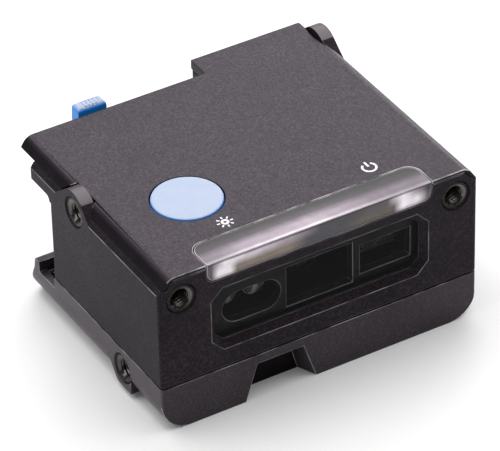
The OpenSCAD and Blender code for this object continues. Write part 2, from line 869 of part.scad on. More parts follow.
module illumination_lenses() {
    h = side_opening_h - 2 * seat;
    y1 = chamber_end_y - board_t - lamp_led_h - seat;
    plate_t = 0.8;
    dome_ratio = 2.2;
    dome_r = dome_ratio * lamp_r;
    color([0.8, 0.82, 0.85, 0.7]) {
        along_y(y1 - plate_t, y1)
            translate([lamp_x, optics_z]) round_rect(lamp_w - 2 * seat, h, h / 2 - eps);
        for (side = [-1, 1])
            translate([lamp_x + side * lamp_pitch / 2, y1 - lamp_lens_l, optics_z]) rotate([-90, 0, 0])
                intersection() {
                    cylinder(r = lamp_r, h = lamp_lens_l - plate_t + eps);
                    translate([0, 0, dome_r]) sphere(r = dome_r);
                }
    }
}

module camera_barrel() {
    y0 = chassis_y + chamber_d / 2;
    l = engine_board_y - sensor_t - y0;
    shelf = l - camera_lens_t - camera_lens_in;
    color([0.12, 0.12, 0.13])
    translate([camera_x, y0 + l, optics_z]) rotate([90, 0, 0])
        difference() {
            cylinder(r = barrel_r, h = l);
            translate([0, 0, -eps]) cylinder(r = barrel_r - 2 * barrel_wall, h = l);
            translate([0, 0, shelf]) cylinder(r = barrel_r - barrel_wall, h = l);
        }
}

module camera_lens() {
    y0 = chassis_y + chamber_d / 2 + camera_lens_in;
    curve_r = 4 * barrel_r;
    color([0.5, 0.55, 0.7, 0.6])
    translate([camera_x, y0 + camera_lens_t, optics_z]) rotate([90, 0, 0])
        intersection() {
            cylinder(r = barrel_r - barrel_wall - press, h = camera_lens_t);
            translate([0, 0, camera_lens_t - curve_r]) sphere(r = curve_r);
        }
}

module image_sensor() {
    color([0.25, 0.2, 0.3])
    block([camera_x - sensor_hw, engine_board_y - sensor_t + seat, optics_z - sensor_hh],
        [camera_x + sensor_hw, engine_board_y, optics_z + sensor_hh]);
}

module aimer_lens() {
    y1 = chamber_end_y - chamber_d / 2;
    h = side_opening_h - 2 * seat;
    color([0.8, 0.5, 0.5, 0.6]) {
        translate([aimer_x, y1 - aimer_lens_t / 2, optics_z])
            cube([aimer_w - 2 * seat, aimer_lens_t, h], center = true);
        translate([aimer_x, y1, optics_z]) rotate([90, 0, 0])
            cylinder(r = diode_r, h = aimer_lens_t + aimer_dome);
    }
}

module aimer_diode() {
    color([0.75, 0.65, 0.35])
    translate([aimer_x, engine_board_y, optics_z]) rotate([90, 0, 0])
        cylinder(r = diode_r, h = chassis_d - chamber_d + diode_out);
}

module engine_board() {
    color([0.1, 0.3, 0.15])
    block([-engine_w / 2, engine_board_y, engine_bottom],
        [engine_w / 2, engine_board_y + board_t, engine_top]);
}

module board_connector() {
    half_w = 6;
    connector_d = 2.4;
    connector_h = 3;
    y0 = engine_board_y + board_t;
    color([0.85, 0.83, 0.75])
    block([-half_w, y0, board_z - connector_h], [half_w, y0 + connector_d, board_z]);
}

module main_board() {
    y0 = boss_end_y + 2 * seat;
    y1 = bay_y - wall - board_gap;
    block_x = step_x + wall + board_gap;
    tongue = pipe_w / 2 - tongue_in;
    tongue_y = front_in + 2 * seat;
    color([0.1, 0.3, 0.15])
    difference() {
        translate([0, 0, board_z]) linear_extrude(board_t)
            polygon([[-board_hw, y0], [-tongue, y0], [-tongue, tongue_y], [tongue, tongue_y], [tongue, y0],
                [board_hw, y0], [board_hw, rear_y - wall - board_gap], [block_x, rear_y - wall - board_gap],
                [block_x, y1], [-board_hw, y1]]);
        for (p = ledge_places)
            translate([p[0], p[1], board_z - 1]) cylinder(r = screw_r + 3 * seat, h = board_t + 2);
    }
}

// Flat chip package on top of the main board
module chip(x, y, w, d) {
    translate([x, y, board_top + chip_h / 2]) cube([w, d, chip_h], center = true);
}

module decoder_chip() {
    color([0.12, 0.12, 0.12]) chip(decoder_x, chip_y, decoder_w, decoder_w);
}

module memory_chip() {
    color([0.12, 0.12, 0.12]) chip(memory_x, chip_y, memory_w, memory_d);
}

module buzzer() {
    port_r = 0.8;
    color([0.1, 0.1, 0.1])
    translate([inner_x - buzzer_r - buzzer_in, rear_y - wall - ledge_half - buzzer_back - buzzer_r,
        board_z - buzzer_h])
        difference() {
            cylinder(r = buzzer_r, h = buzzer_h);
            translate([0, 0, -eps]) cylinder(r = port_r, h = buzzer_h / 3);
        }
}

// Small light under the light pipe
module pipe_led(x) {
    translate([x, led_y, board_top + led_h / 2]) cube([led_w, led_w, led_h], center = true);
}

module status_led() {
    color([0.2, 0.9, 0.3]) pipe_led(-led_x);
}

module power_led() {
    color([0.2, 0.4, 0.95]) pipe_led(led_x);
}

module trigger_button() {
    top = top_z + button_rise;
    chamfer = 0.2;
    color([0.25, 0.45, 0.75])
    translate([button_cx, button_cy, 0])
        rotate_extrude()
            polygon([[0, flange_top - flange_t], [flange_r, flange_top - flange_t], [flange_r, flange_top],
                [button_r, flange_top], [button_r, top - chamfer], [button_r - chamfer, top], [0, top]]);
}

module switch_plunger() {
    z0 = board_top + switch_h - 1.5 * seat;
    color([0.9, 0.9, 0.85])
    translate([button_cx, button_cy, z0]) cylinder(r = plunger_r, h = flange_top - flange_t - z0);
}

module tact_switch() {
    color([0.3, 0.3, 0.32])
    translate([button_cx, button_cy, board_top])
        difference() {
            translate([-switch_w / 2, -switch_w / 2, 0]) cube([switch_w, switch_w, switch_h]);
            translate([0, 0, -eps]) cylinder(r = plunger_r + seat, h = switch_h + 1);
        }
}

module cable_socket() {
    x0 = lever_x - socket_w / 2;
    x1 = lever_x + socket_w / 2;
    color([0.16, 0.16, 0.17])
    difference() {
        union() {
            block([x0, bay_y - socket_l, socket_z], [x1, bay_y - wall - seat, board_z]);
            block([x0, bay_y - wall - seat - eps, socket_z], [x1, bay_y, nose_top]);
        }
        block([lever_x - mouth_w / 2, bay_y - mouth_d, mouth_z],
            [lever_x + mouth_w / 2, bay_y + eps, mouth_z + mouth_h]);
    }
}

module socket_contacts() {
    contact_w = 0.5;
    contact_t = 0.3;
    contact_short = 2;
    contact_side = 0.6;
    contact_l = mouth_d - contact_short;
    pitch = (mouth_w - 2 * contact_side) / (contact_count - 1);
    color([0.85, 0.7, 0.3])
    for (i = [0:contact_count - 1])
        translate([lever_x + (i - (contact_count - 1) / 2) * pitch - contact_w / 2, bay_y - mouth_d, mouth_z])
            cube([contact_w, contact_l, contact_t]);
}

// Side view of the lever's arm from y0 to the tab
module arm_side(y0) {
    polygon([[y0, arm_z], [tab_y + tab_d, arm_z], [tab_y + tab_d, arm_z + arm_t], [y0, arm_z + arm_t]]);
}

// Side view of the catch that holds the plug
module catch_side() {
    reach = 4.4;
    y = pivot_y + reach;
    depth = 1.3;
    lean = 0.2;
    tip = 0.6;
    ramp = 1.4;
    polygon([[y, arm_z + eps], [y + lean, arm_z - depth], [y + lean + tip, arm_z - depth],
        [y + lean + tip + ramp, arm_z + eps]]);
}

// Finger tab: a cushion narrower at its top, with grip grooves
module finger_tab() {
    taper = 0.2;
    grooves = 5;
    half = lever_w / 2;
    x1 = half - taper - tab_round;
    z1 = tab_top - tab_round;
    y1 = tab_y + tab_d;
    pitch = (lever_w - 2 * tab_round) / (grooves + 1);
    difference() {
        intersection() {
            along_y(tab_y, y1)
                translate([lever_x, 0])
                    polygon(concat([[-half, arm_z], [half, arm_z]], arc([x1, z1], tab_round, 0, 90),
                        arc([-x1, z1], tab_round, 90, 180)));
            along_x(lever_x - half, lever_x + half)
                polygon(concat([[tab_y, arm_z], [y1, arm_z]], arc([y1 - tab_round, z1], tab_round, 0, 90),
                    arc([tab_y + tab_round, z1], tab_round, 90, 180)));
        }
        for (i = [0:grooves - 1])
            translate([lever_x + (i - (grooves - 1) / 2) * pitch, y1 + eps, tab_top + groove_r - groove_d])
                rotate([90, 0, 0]) cylinder(r = groove_r, h = tab_d + 2 * eps);
    }
}

module release_lever() {
    half = lever_w / 2;
    hub_x1 = lever_x + half - coil_w - ear_gap;
    color([0.1, 0.3, 0.7])
    difference() {
        union() {
            translate([lever_x - half, pivot_y, pivot_z]) rotate([0, 90, 0])
                cylinder(r = hub_r, h = hub_x1 - lever_x + half);
            along_x(lever_x - half, hub_x1) arm_side(pivot_y);
            along_x(hub_x1 - eps, lever_x + half) arm_side(pivot_y + coil_r + 2 * wire_r + ear_gap);
            along_x(lever_x - half / 2, lever_x + half / 2) catch_side();
            finger_tab();
        }
        pivot_bore(pin_r + running, lever_w);
    }
}

module lever_pin() {
    color([0.7, 0.7, 0.72]) pivot_bore(pin_r, lever_w / 2 + ear_gap + ear_t);
}

// Wire of the lever's torsion spring: a leg on the rear wall, the coil, a leg under the arm
function coil_point(t) =
    let (a = 180 + t * (360 * coil_turns - 270))
    [lever_x + lever_w / 2 - coil_w + wire_r + t * (coil_w - 2 * wire_r - ear_gap / 2),
        pivot_y + coil_r * cos(a), pivot_z + coil_r * sin(a)];
coil_steps = 12 * coil_turns;
spring_path = concat(
    [[coil_point(0)[0], bay_y + wire_r + press, pivot_z + coil_r]],
    [for (i = [0:coil_steps]) coil_point(i / coil_steps)],
    [[coil_point(1)[0], pivot_y + spring_leg, arm_z - wire_r - press]]);

// Ring of eight points round point i of a path
function ring(path, i) =
    let (last = len(path) - 1, a = path[max(i - 1, 0)], b = path[min(i + 1, last)])
    let (t = (b - a) / norm(b - a), n = cross(t, [1, 0, 0]), u = n / norm(n), v = cross(t, u))
    [for (k = [0:7]) path[i] + wire_r * (cos(45 * k) * u + sin(45 * k) * v)];

module lever_spring() {
    last = len(spring_path) - 1;
    points = [for (i = [0:last]) each ring(spring_path, i)];
    sides = [for (i = [0:last - 1], k = [0:7])
        [8 * i + k, 8 * i + (k + 1) % 8, 8 * (i + 1) + (k + 1) % 8, 8 * (i + 1) + k]];
    ends = [[7, 6, 5, 4, 3, 2, 1, 0], [for (k = [0:7]) 8 * last + k]];
    color([0.75, 0.75, 0.78]) polyhedron(points, concat(sides, ends));
}

module front_inserts() {
    color([0.45, 0.42, 0.36])
    for (side = [-1, 1])
        at_front(side) translate([0, 0, -insert_l - insert_sink]) insert(insert_l);
}

module side_inserts() {
    color([0.45, 0.42, 0.36])
    for (side = [-1, 1])
        at_boss(side) translate([0, 0, -side_insert_l - insert_sink]) insert(side_insert_l);
}

module base_inserts() {
    color([0.45, 0.42, 0.36])
    for (side = [-1, 1])
        at_base(side) translate([0, 0, -insert_l - insert_sink]) insert(insert_l);
}

// Screw along Z with its head's seat at z = 0 and its shank upward
module screw(head_r, head_h, l) {
    slot_w = 0.5;
    slot_l = 2;
    difference() {
        union() {
            translate([0, 0, -head_h]) cylinder(r = head_r, h = head_h);
            cylinder(r = screw_r, h = l);
        }
        for (turn = [0, 90])
            rotate(turn)
                translate([-slot_l / 2, -slot_w / 2, -head_h - eps]) cube([slot_l, slot_w, head_h / 2]);
    }
}

module base_screws() {
    seat_z = base_head_z + base_head_h;
    color([0.6, 0.6, 0.62])
    for (p = base_screw_places)
        translate([p[0], p[1], seat_z]) screw(base_head_r, base_head_h, base_screw_tip - seat_z);
}

module board_screws() {
    tip_gap = 0.4;
    color([0.6, 0.6, 0.62])
    for (p = ledge_places)
        translate([p[0], p[1], board_top]) rotate([180, 0, 0])
            screw(screw_head_r, screw_head_h, board_screw_l + board_t - tip_gap);
}

main_housing();
top_cover();
base();
base_seal();
light_pipe();
front_window();
window_seal();
optic_bezel();
engine_chassis();
illumination_board();
illumination_leds();
illumination_lenses();
camera_barrel();
camera_lens();
image_sensor();
aimer_lens();
aimer_diode();
engine_board();
board_connector();
main_board();
decoder_chip();
memory_chip();
buzzer();
status_led();
power_led();
trigger_button();
switch_plunger();
tact_switch();
cable_socket();
socket_contacts();
release_lever();
lever_pin();
lever_spring();
front_inserts();
side_inserts();
base_inserts();
base_screws();
board_screws();
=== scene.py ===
"""Looks of the fixed barcode reader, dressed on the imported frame. Metres, in the frame's own axes."""
import json
import math

import bmesh
import bpy
from mathutils import Matrix, Vector
from mathutils.bvhtree import BVHTree


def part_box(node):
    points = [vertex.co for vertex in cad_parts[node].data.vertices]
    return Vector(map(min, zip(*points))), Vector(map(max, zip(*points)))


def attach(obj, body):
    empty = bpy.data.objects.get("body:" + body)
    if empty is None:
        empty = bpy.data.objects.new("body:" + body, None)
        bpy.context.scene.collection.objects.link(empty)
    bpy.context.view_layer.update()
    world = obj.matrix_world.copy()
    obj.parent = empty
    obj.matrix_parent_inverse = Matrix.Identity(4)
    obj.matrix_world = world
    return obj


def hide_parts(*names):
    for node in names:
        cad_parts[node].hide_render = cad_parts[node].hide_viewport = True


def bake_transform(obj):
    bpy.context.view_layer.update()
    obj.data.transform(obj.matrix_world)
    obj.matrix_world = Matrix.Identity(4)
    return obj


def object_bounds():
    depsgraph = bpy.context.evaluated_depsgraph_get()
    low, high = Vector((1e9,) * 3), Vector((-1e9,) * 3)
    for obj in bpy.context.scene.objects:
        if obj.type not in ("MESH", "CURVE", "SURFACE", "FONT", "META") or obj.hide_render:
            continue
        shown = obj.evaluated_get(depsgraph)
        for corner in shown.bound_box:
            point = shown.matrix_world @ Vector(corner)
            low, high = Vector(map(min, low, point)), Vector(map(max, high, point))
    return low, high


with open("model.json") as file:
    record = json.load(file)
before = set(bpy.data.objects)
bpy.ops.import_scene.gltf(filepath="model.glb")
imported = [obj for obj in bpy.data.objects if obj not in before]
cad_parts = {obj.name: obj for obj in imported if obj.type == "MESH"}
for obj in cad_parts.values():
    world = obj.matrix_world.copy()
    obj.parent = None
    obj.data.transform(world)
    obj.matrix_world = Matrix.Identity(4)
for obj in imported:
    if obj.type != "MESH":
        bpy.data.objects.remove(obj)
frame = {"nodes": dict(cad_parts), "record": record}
cad_low, cad_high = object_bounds()

MM = 0.001
NODES = frame["nodes"]
SLOT_OF = {part["node"]: part["material_slot"] for part in frame["record"]["subparts"]}
SCENE = bpy.context.scene

# Bodies of the frame
READER, BUTTON, LEVER = "reader", "button", "lever"

# Places that the looks follow
TOP_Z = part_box("light_pipe")[1].z
FRONT_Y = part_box("main_housing")[0].y
BUTTON_LOW, BUTTON_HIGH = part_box("trigger_button")

# Cleaning of a CAD mesh: points this close are one, and faces within this many degrees of flat are one
WELD = 0.0005 * MM
FLAT_ANGLE = 0.4

# Rounding of moulded edges
MOULD_EDGE = 0.075 * MM
FINE_EDGE = 0.08 * MM
BEZEL_EDGE = 0.1 * MM
COVER_EDGE = 0.12 * MM
BLUE_EDGE = 0.14 * MM
EDGE_SEGMENTS = 2

# An edge is rounded where its faces turn by more than this many degrees
SHARP_ANGLE = 28
HOUSING_SHARP_ANGLE = 33
WINDOW_SHARP_ANGLE = 40

# A rounded point further from the CAD surface than this share of the rounding goes back to it
STRAY_SHARE = 0.45

# An edge is shaded crisp where its faces turn by more than this many degrees
CRISP_ANGLE = 38
INSERT_CRISP_ANGLE = 40
SPRING_CRISP_ANGLE = 60

# Threaded inserts
INSERT_RADIUS = 2.25 * MM
BORE_RADIUS = 1.25 * MM
RIM_CHAMFER = 0.09 * MM
MOUTH_CHAMFER = 0.3 * MM
THREAD_PITCH = 0.5 * MM
THREAD_DEPTH = 0.2 * MM
THREAD_STEPS = 6
KNURL_COUNT = 30
KNURL_STEPS = 6
KNURL_DEPTH = 0.16 * MM
TOOTH_SHARE = 0.55

# Edges closer than this to an insert's middle are quiet: they carry no painted highlight
INSERT_REACH = 3.6 * MM

# Quiet edges of the housing, without painted highlight: the seam under the cover's sides, and the upper
# front corners
SEAM_DROP = 2.1 * MM
SEAM_START = 1 * MM
CORNER_X = 23 * MM
CORNER_DEPTH = 7 * MM
CORNER_DROP = 3.2 * MM

# Quiet edges of the cover, without painted highlight: below its top, round the button by a share of its
# width, and round the rear step
COVER_TOP_DEPTH = 0.5 * MM
BUTTON_RING = 0.7
REAR_STEP = 12 * MM

# Upper faces of the side bosses, which get a glossier copy of the housing's look as a painted sheen: how
# far out, how far below the top, and how far they face up
BOSS_X = 22.8 * MM
BOSS_DROP = 1.45 * MM
BOSS_TILT = 0.72

# Painted shade on the cover's rounded sides, as gloss that fades band by band as the faces turn from up:
# the normal's height below which each band starts, and its gloss
COVER_SHADE_BANDS = ((0.95, 0.32), (0.90, 0.24), (0.84, 0.16), (0.76, 0.08))

# Notch in the base's front, whose roof and rear wall get painted shade: half its width, its reach behind
# the front, and how far its faces tilt
NOTCH_HALF = 9 * MM
NOTCH_START = 0.3 * MM
NOTCH_DEPTH = 6 * MM
NOTCH_TILT = 0.5

# Outer sides of the base, which get a glossier copy of its look as a painted sheen
BASE_SIDE_X = 23 * MM
BASE_SIDE_TILT = 0.7

# Painted highlight rings on the small lenses and the reach of a lens, as shares of its radius
LENS_HIGHLIGHT_RINGS = ((0.4, 0.58), (0.8, 1.0))
LENS_REACH = 1.05

# Printed signs on the cover
STATUS_SIGN = Vector((-10.8, -14.7, 0)) * MM
POWER_SIGN = Vector((12.5, -14.4, 0)) * MM
INK_RISE = 0.012 * MM
SIGN_SIZE = 2.3 * MM
RING_STEPS = 48
LAMP_RADIUS = 0.26 * SIGN_SIZE
LAMP_HOLE = 0.1 * SIGN_SIZE
RAY_COUNT = 8
RAY_PLACE = 0.44 * SIGN_SIZE
RAY_LENGTH = 0.2 * SIGN_SIZE
RAY_WIDTH = 0.1 * SIGN_SIZE
POWER_RADIUS = 0.5 * SIGN_SIZE
POWER_HOLE = 0.36 * SIGN_SIZE
POWER_GAP = math.radians(38)
STROKE_PLACE = 0.34 * SIGN_SIZE
STROKE_LENGTH = 0.5 * SIGN_SIZE
STROKE_WIDTH = 0.14 * SIGN_SIZE

# Camera of the photograph, for an image of 500 by 451, with its lens and sensor in millimetres
CAMERA_PLACE = Vector((-231.08, -402.00, 351.09)) * MM
CAMERA_RIGHT = Vector((0.85777, -0.51364, -0.02030))
CAMERA_UP = Vector((0.31751, 0.49835, 0.80674))
CAMERA_LENS = 293.0
SENSOR_WIDTH = 36
CLIP_START, CLIP_END = 0.01, 50

# Floor: half its width, its gap below the part, and its looks
FLOOR_HALF = 6
FLOOR_GAP = 0.02 * MM
FLOOR_PALE = (0.9, 0.9, 0.9, 1)
FLOOR_LEVEL = 0.2
FLOOR_MARKS = 30
FLOOR_ROUGHNESS = (0.3, 0.4)
# White that shows to the eye and in reflections, also under the shadow
FLOOR_WHITE = 0.05

WORLD_LIGHT = 0.1


# Material tools

# Range in which most of a noise lies
NOISE_REACH = (0.3, 0.7)
WHITE = (1, 1, 1)
# Refractive index of clear plastic
CLEAR_INDEX = 1.49


def new_material(name):
    """A node material, its tree and its principled shader."""
    material = bpy.data.materials.new(name)
    material.use_nodes = True
    return material, material.node_tree, material.node_tree.nodes["Principled BSDF"]


def add(tree, kind, **values):
    """A node with its inputs or its settings given by name."""
    node = tree.nodes.new(kind)
    for key, value in values.items():
        if key in node.inputs:
            node.inputs[key].default_value = value
        else:
            setattr(node, key, value)
    return node


def set_inputs(node, values):
    """Plain values on a node's inputs, by name."""
    for key, value in values.items():
        node.inputs[key].default_value = value


def own_place(tree):
    """The place of a point in its piece's own axes."""
    return add(tree, "ShaderNodeTexCoord").outputs["Object"]


def surface_normal(tree):
    """The direction that a surface faces."""
    return add(tree, "ShaderNodeNewGeometry").outputs["Normal"]


def split(tree, vector):
    """The X, Y and Z of a vector."""
    node = add(tree, "ShaderNodeSeparateXYZ")
    tree.links.new(vector, node.inputs["Vector"])
    return node.outputs


def noise(tree, scale, detail=2.0, roughness=0.5):
    """Noise in metres, with features about 1 / scale wide."""
    node = add(tree, "ShaderNodeTexNoise", Scale=scale, Detail=detail, Roughness=roughness)
    tree.links.new(own_place(tree), node.inputs["Vector"])
    return node.outputs["Fac"]


def mapped(tree, source, reach, low=0.0, high=1.0):
    """A number that runs from low to high while source runs over its reach."""
    node = add(tree, "ShaderNodeMapRange")
    set_inputs(node, {"From Min": reach[0], "From Max": reach[1], "To Min": low, "To Max": high})
    tree.links.new(source, node.inputs["Value"])
    return node.outputs["Result"]


def spread(tree, source, low, high):
    """A number that follows a noise, from low to high."""
    return mapped(tree, source, NOISE_REACH, low, high)


def tint(tree, source, colours):
    """A colour ramp over source, from (place, colour) pairs."""
    node = add(tree, "ShaderNodeValToRGB")
    ramp = node.color_ramp
    while len(ramp.elements) < len(colours):
        ramp.elements.new(0.5)
    for element, (place, colour) in zip(ramp.elements, colours):
        element.position = place
        element.color = (*colour, 1)
    tree.links.new(source, node.inputs["Fac"])
    return node.outputs["Color"]


def mottle(tree, source, dark, light, reach=NOISE_REACH):
    """A colour that follows a noise, from dark to light."""
    return tint(tree, source, [(reach[0], dark), (reach[1], light)])


def mix(tree, a, b, how="MULTIPLY", factor=None):
    """Two colours multiplied, or mixed in another way by a factor."""
    node = add(tree, "ShaderNodeMix", data_type="RGBA", blend_type=how, Factor=1.0)
    if factor is not None:
        tree.links.new(factor, node.inputs["Factor"])
    first, second = [socket for socket in node.inputs if socket.type == "RGBA"]
    tree.links.new(a, first)
    tree.links.new(b, second)
    return next(socket for socket in node.outputs if socket.type == "RGBA")


def times(colour, share):
    """A colour made darker or lighter."""
    return tuple(share * c for c in colour)


def dress(tree, shader, colour, roughness):
    """Links a colour and a roughness to the shader."""
    tree.links.new(colour, shader.inputs["Base Color"])
    tree.links.new(roughness, shader.inputs["Roughness"])


def bump(tree, shader, source, depth):
    """Relief of the given depth in metres."""
    node = add(tree, "ShaderNodeBump", Strength=1.0, Distance=depth)
    tree.links.new(source, node.inputs["Height"])
    tree.links.new(node.outputs["Normal"], shader.inputs["Normal"])


# Moulded plastic

# Features per metre of the grain and the flow marks, and depths of the grain
FINE_GRAIN = 5200
COARSE_GRAIN = 3400
CHIP_GRAIN = 3500
SMALL_PART_GRAIN = 2500
SMOOTH_GRAIN = 9000
FLOW_MARKS = 140
GRAIN_DEPTH = 0.012 * MM
SMOOTH_DEPTH = 0.003 * MM
# Shares of the colour in and out of the flow marks
FLOW_DARK, FLOW_LIGHT = 0.8, 1.25
# Places on the coarse grain's noise, each with the share that full speckle takes off the colour there,
# and the share that it takes off on the whole
SPECKLE_STEPS = ((0.34, 0.7), (0.54, 0.5), (0.68, 0.0))
SPECKLE_MEAN = 0.5
# Range of the roughness about its mean
GRAIN_SHARPER, GRAIN_DULLER = 0.05, 0.06


def grained_plastic(name, colour, roughness, grain=FINE_GRAIN, depth=GRAIN_DEPTH, level=0.5, cast=WHITE,
                    index=1.5, speckle=0.0, sparkle=None):
    """Moulded plastic with a spark-eroded grain, faint flow marks and uneven gloss.

    Level and cast are the strength and the tint of its gloss. Speckle is how far the grain changes the
    colour, and sparkle the range of gloss from grain to grain.
    """
    material, tree, shader = new_material(name)
    fine = noise(tree, grain, detail=3.0, roughness=0.6)
    coarse = noise(tree, COARSE_GRAIN, roughness=0.7)
    mean = 1 - SPECKLE_MEAN * speckle
    flow = mottle(tree, noise(tree, FLOW_MARKS), times(colour, FLOW_DARK / mean),
                  times(colour, FLOW_LIGHT / mean))
    grains = tint(tree, coarse, [(place, times(WHITE, 1 - share * speckle))
                                 for place, share in SPECKLE_STEPS])
    dress(tree, shader, mix(tree, flow, grains),
          spread(tree, fine, roughness - GRAIN_SHARPER, roughness + GRAIN_DULLER))
    set_inputs(shader, {"IOR": index, "Specular Tint": (*cast, 1), "Specular IOR Level": level})
    if sparkle:
        gloss = spread(tree, coarse, level * sparkle[0], level * sparkle[1])
        tree.links.new(gloss, shader.inputs["Specular IOR Level"])
    bump(tree, shader, fine, depth)
    return material


# Blue of a face, by the height of its normal: deep blue on the sides, and a painted sheen that makes the
# upward faces pale
BLUE_PAINTED_SHEEN_TONES = ((0.3, (0.01, 0.29, 0.95)), (0.62, (0.2, 0.40, 0.84)), (0.86, (0.40, 0.47, 0.64)),
              (0.97, (0.415, 0.48, 0.63)))
BLUE_CLOUD = (0.93, 0.95, 0.97)
BLUE_CLOUD_MARKS = 420
BLUE_GRAIN = 4200
BLUE_ROUGHNESS = (0.36, 0.46)
BLUE_DEPTH = 0.006 * MM


def blue_plastic(name):
    """Satin blue plastic: deep blue on its sides, pale on its upper faces, where a sheen of the light from
    above is painted.
    """
    material, tree, shader = new_material(name)
    painted_sheen_tone = tint(tree, split(tree, surface_normal(tree))["Z"], BLUE_PAINTED_SHEEN_TONES)
    cloud = mottle(tree, noise(tree, BLUE_CLOUD_MARKS, detail=3.0), BLUE_CLOUD, WHITE)
    fine = noise(tree, BLUE_GRAIN)
    dress(tree, shader, mix(tree, painted_sheen_tone, cloud), spread(tree, fine, *BLUE_ROUGHNESS))
    bump(tree, shader, fine, BLUE_DEPTH)
    return material


# Painted edge highlights: features per metre, the noise that they follow, and how much duller the dark
# stretches are
EDGE_BREAK_MARKS = 330
EDGE_BREAK_REACH = (0.38, 0.62)
EDGE_BREAK_DULLER = 0.1


def painted_edge_highlight(name, colour, roughness, faded=0.12):
    """Painted highlight on an edge of a moulded piece: a light line that comes and goes with a noise.

    Faded is the share of the colour that is left between the light stretches.
    """
    material, tree, shader = new_material(name)
    breaks = noise(tree, EDGE_BREAK_MARKS, detail=3.0)
    dress(tree, shader, mottle(tree, breaks, times(colour, faded), colour, EDGE_BREAK_REACH),
          spread(tree, breaks, roughness + EDGE_BREAK_DULLER, roughness))
    return material


# Clear pieces

LENS_CLEAR = (0.80, 0.82, 0.85)
LENS_DIM = 0.94
LENS_MARKS = 300
LENS_ROUGHNESS = (0.021, 0.039)
LENS_TRANSMISSION = 0.9
LENS_DEPTH = 0.004 * MM


def lens_plastic(name):
    """Clear moulded lens with faint flow lines."""
    material, tree, shader = new_material(name)
    flow = noise(tree, LENS_MARKS)
    dress(tree, shader, mottle(tree, flow, times(LENS_CLEAR, LENS_DIM), LENS_CLEAR),
          spread(tree, flow, *LENS_ROUGHNESS))
    set_inputs(shader, {"IOR": CLEAR_INDEX, "Transmission Weight": LENS_TRANSMISSION})
    bump(tree, shader, flow, LENS_DEPTH)
    return material


# Tones of the light pipe, for its painted reflections, highlights, shade and glow
PIPE_WHITE = (1.0, 0.94, 0.99)
PIPE_BRIGHT = (0.80, 0.73, 0.79)
PIPE_PALE = (0.42, 0.35, 0.41)
PIPE_GREY = (0.09, 0.070, 0.087)
PIPE_DIM = (0.015, 0.013, 0.015)
PIPE_TAN = (0.20, 0.155, 0.12)
PIPE_DARK_TAN = (0.09, 0.071, 0.056)
PIPE_STEEL = (0.042, 0.040, 0.051)
# Painted highlight on its top, from front to rear and from left to right
PIPE_PAINTED_TOP_BACK = ((0.05, PIPE_BRIGHT), (0.14, PIPE_PALE), (0.34, PIPE_PALE), (0.6, PIPE_GREY),
                 (0.85, PIPE_DIM))
PIPE_PAINTED_TOP_ACROSS = ((0.03, (0.45, 0.44, 0.45)), (0.2, (0.85, 0.84, 0.85)), (0.5, WHITE),
                   (0.75, (0.46, 0.43, 0.46)), (0.97, (0.36, 0.35, 0.36)))
# Painted reflections on the lower and upper half of its front, with white painted highlights at its ends,
# from left to right, and the painted shade on both from foot to top
PIPE_PAINTED_LOWER = ((0.02, PIPE_GREY), (0.05, PIPE_WHITE), (0.1, PIPE_WHITE), (0.13, PIPE_TAN), (0.36, PIPE_TAN),
              (0.44, PIPE_STEEL), (0.6, PIPE_STEEL), (0.68, PIPE_DARK_TAN), (0.83, PIPE_DARK_TAN),
              (0.87, PIPE_WHITE), (0.93, PIPE_WHITE), (0.98, PIPE_GREY))
PIPE_PAINTED_UPPER = ((0.02, PIPE_GREY), (0.08, PIPE_WHITE), (0.13, PIPE_BRIGHT), (0.35, PIPE_PALE),
              (0.5, PIPE_STEEL), (0.65, PIPE_STEEL), (0.8, PIPE_GREY), (0.87, PIPE_WHITE),
              (0.93, PIPE_PALE), (0.98, PIPE_DIM))
PIPE_PAINTED_SHADE = ((0.02, (0.3, 0.3, 0.31)), (0.22, WHITE), (0.84, WHITE), (0.9, (0.3, 0.28, 0.3)))
# Where the lower half of the front turns into the upper one, and the front into the top
PIPE_HALVES = (0.4, 0.75)
PIPE_FOLD = (0.35, 0.8)
PIPE_FLOW = (0.8, 0.79, 0.8)
PIPE_FLOW_MARKS = 620
PIPE_FLOW_REACH = (0.32, 0.66)
PIPE_MARKS = 1400
PIPE_ROUGHNESS = (0.1, 0.16)
PIPE_TRANSMISSION = 0.15
# Strength of the painted glow: the pipe's colour given out as light, though it is no lamp
PIPE_PAINTED_GLOW = 0.32


def painted_light_guide(name):
    """Clear bar that gathers light, with its light painted on: painted highlights along its front fold and
    top, white painted highlights at its ends, painted reflections and shade, and a painted glow.
    """
    material, tree, shader = new_material(name)
    low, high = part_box("light_pipe")
    place = split(tree, own_place(tree))
    across = mapped(tree, place["X"], (low.x, high.x))
    back = mapped(tree, place["Y"], (low.y, high.y))
    up = mapped(tree, place["Z"], (low.z, high.z))
    upward = mapped(tree, split(tree, surface_normal(tree))["Z"], PIPE_FOLD)
    top = mix(tree, tint(tree, back, PIPE_PAINTED_TOP_BACK), tint(tree, across, PIPE_PAINTED_TOP_ACROSS))
    front = mix(tree, tint(tree, across, PIPE_PAINTED_LOWER), tint(tree, across, PIPE_PAINTED_UPPER), "MIX",
                mapped(tree, up, PIPE_HALVES))
    front = mix(tree, front, tint(tree, up, PIPE_PAINTED_SHADE))
    flow = mottle(tree, noise(tree, PIPE_FLOW_MARKS, detail=3.0), PIPE_FLOW, WHITE, PIPE_FLOW_REACH)
    colour = mix(tree, mix(tree, front, top, "MIX", upward), flow)
    dress(tree, shader, colour, spread(tree, noise(tree, PIPE_MARKS), *PIPE_ROUGHNESS))
    # Painted glow: the painted colour also shines as emission
    tree.links.new(colour, shader.inputs["Emission Color"])
    set_inputs(shader, {"Emission Strength": PIPE_PAINTED_GLOW, "IOR": CLEAR_INDEX,
                        "Transmission Weight": PIPE_TRANSMISSION})
    return material


